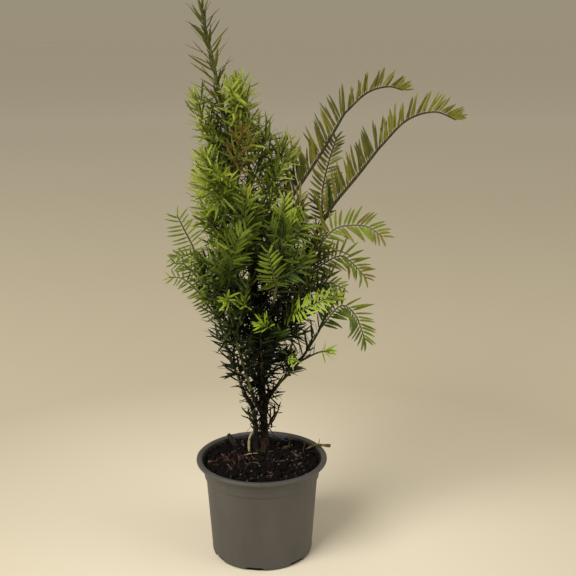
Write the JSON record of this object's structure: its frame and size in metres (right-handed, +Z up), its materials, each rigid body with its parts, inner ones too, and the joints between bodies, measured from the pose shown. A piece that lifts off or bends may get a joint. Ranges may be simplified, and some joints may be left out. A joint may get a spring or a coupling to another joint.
{
  "type": "potted english yew",
  "caption": "Young English yew with an upright leader and two long shoots arching to one side, in its round grey nursery pot.",
  "frame": {"origin": "centre of the pot's flat underside", "axes": "+Z up along the trunk; +X toward the side that the two long arching shoots reach; -Y toward the front"},
  "size_m": [0.3062, 0.1505, 0.5418],
  "materials": {
    "pot": "matt grey moulded plastic",
    "compost": "moist dark compost with fine bark",
    "litter": "dry red-brown bark",
    "dead_needle": "dry straw-coloured needle",
    "bark": "thin red-brown scaly bark",
    "bark_dark": "dark brown-grey young bark",
    "needles_old": "blackish green, satin",
    "needles_mid": "dark green, satin",
    "needles_leaf": "mid yellow-green, satin",
    "needles_young": "light yellow-green, satin",
    "needles_gold": "olive gold, satin",
    "needles_fresh": "bright lime green, satin"
  },
  "bodies": {
    "root": {"pot": "pot", "compost": "compost", "bark_chip": "litter", "dry_stick": "litter", "dead_needle": "dead_needle", "trunk": "bark", "stem_left": "bark_dark", "bough_left_inner": "bark_dark", "bough_right_low": "bark_dark", "bough_front_low": "bark_dark", "bough_back_left": "bark_dark", "bough_back_right": "bark_dark", "bough_right_mid": "bark_dark", "bough_arch_low": "bark_dark", "bough_front_mid": "bark_dark", "bough_back_mid": "bark_dark", "bough_arch_up": "bark_dark", "leader": "needles_gold", "top_left": "needles_young", "top_right": "needles_young", "shoulder_right": "needles_leaf", "shoulder_far_right": "needles_leaf", "tuft_gold": "needles_gold", "star_front": "needles_fresh", "left_high": "needles_young", "left_mid": "needles_leaf", "left_outer": "needles_mid", "left_inner": "needles_mid", "centre_left": "needles_leaf", "inner_mid": "needles_old", "front_low": "needles_mid", "front_mid": "needles_leaf", "front_high": "needles_young", "right_low": "needles_mid", "right_inner": "needles_old", "right_mid": "needles_leaf", "right_high": "needles_gold", "arch_low_rise": "needles_gold", "arch_low_tip": "needles_gold", "arch_up_rise": "needles_gold", "arch_up_tip": "needles_gold", "back_left_low": "needles_old", "back_right_low": "needles_old", "back_mid": "needles_leaf", "back_right_mid": "needles_mid", "back_left_mid": "needles_mid", "back_right_high": "needles_leaf", "back_left_high": "needles_leaf", "back_top": "needles_young", "collar_left": "needles_old", "collar_right": "needles_old"}
  },
  "joints": []
}
